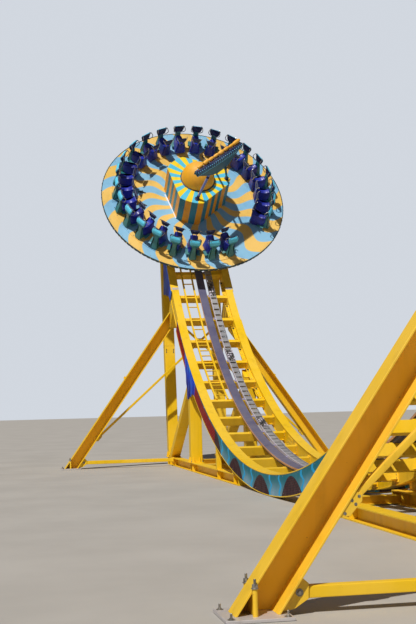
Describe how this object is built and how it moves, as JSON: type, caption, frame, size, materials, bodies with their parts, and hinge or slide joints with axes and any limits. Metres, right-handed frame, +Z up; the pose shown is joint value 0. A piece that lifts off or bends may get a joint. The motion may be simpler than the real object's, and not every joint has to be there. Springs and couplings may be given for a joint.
{
  "type": "half-pipe spinning disc ride",
  "caption": "Fairground ride: a U-shaped arc track on raking legs carries a trolley whose round deck of straddle seats spins as it rolls to and fro.",
  "frame": {"origin": "on the ground, under the lowest point of the track, midway between the base beams", "axes": "+X along the track towards the end where the trolley is stored, +Y to the left when looking along +X, +Z up"},
  "size_m": [31.9864, 9.16, 11.656],
  "materials": {
    "yellow_paint": "semi-gloss",
    "slate_paint": "satin",
    "silver_metal": "satin",
    "fascia_art": "satin",
    "flame_boards": "satin",
    "dark_steel": "satin",
    "black_rubber": "matt",
    "deck_paint": "satin",
    "teal_paint": "satin",
    "hub_paint": "satin",
    "gold_paint": "semi-gloss",
    "seat_shell": "gloss"
  },
  "bodies": {
    "frame": {"track_middle": "yellow_paint", "track_far_lower": "yellow_paint", "track_far_upper": "yellow_paint", "track_near_lower": "yellow_paint", "track_near_upper": "yellow_paint", "drive_band": "slate_paint", "power_tray": "silver_metal", "ladder_far": "yellow_paint", "ladder_near": "yellow_paint", "fascia_left_middle": "fascia_art", "fascia_left_far": "flame_boards", "fascia_left_near": "flame_boards", "fascia_right_middle": "fascia_art", "fascia_right_far": "flame_boards", "fascia_right_near": "flame_boards", "base_frame_far": "yellow_paint", "column_far_left": "yellow_paint", "post_far_left": "yellow_paint", "raking_leg_far_left": "yellow_paint", "column_far_right": "yellow_paint", "post_far_right": "yellow_paint", "raking_leg_far_right": "yellow_paint", "base_frame_near": "yellow_paint", "column_near_left": "yellow_paint", "post_near_left": "yellow_paint", "raking_leg_near_left": "yellow_paint", "column_near_right": "yellow_paint", "post_near_right": "yellow_paint", "raking_leg_near_right": "yellow_paint"},
    "trolley": {"trolley_chassis": "dark_steel", "wheelset_upper": "black_rubber", "wheelset_lower": "black_rubber", "drive_unit": "black_rubber"},
    "disc": {"disc_underframe": "yellow_paint", "disc_deck": "deck_paint", "disc_rim": "teal_paint", "hub_drum": "hub_paint", "hub_dome": "gold_paint", "ornament": "teal_paint", "seat_bank_1": "seat_shell", "seat_bank_2": "seat_shell", "seat_bank_3": "seat_shell", "seat_bank_4": "seat_shell", "seat_bank_5": "seat_shell", "seat_bank_6": "seat_shell"}
  },
  "joints": [
    {"name": "trolley_roll", "type": "hinge", "parent": "frame", "child": "trolley", "pos_m": [0, 0, 17.074], "axis": [0, 1, 0], "range_deg": [0, 116.88]},
    {"name": "disc_spin", "type": "hinge", "parent": "trolley", "child": "disc", "pos_m": [14.14474, 0, 8.38571], "axis": [-0.8521, 0, 0.5234], "continuous": true}
  ]
}
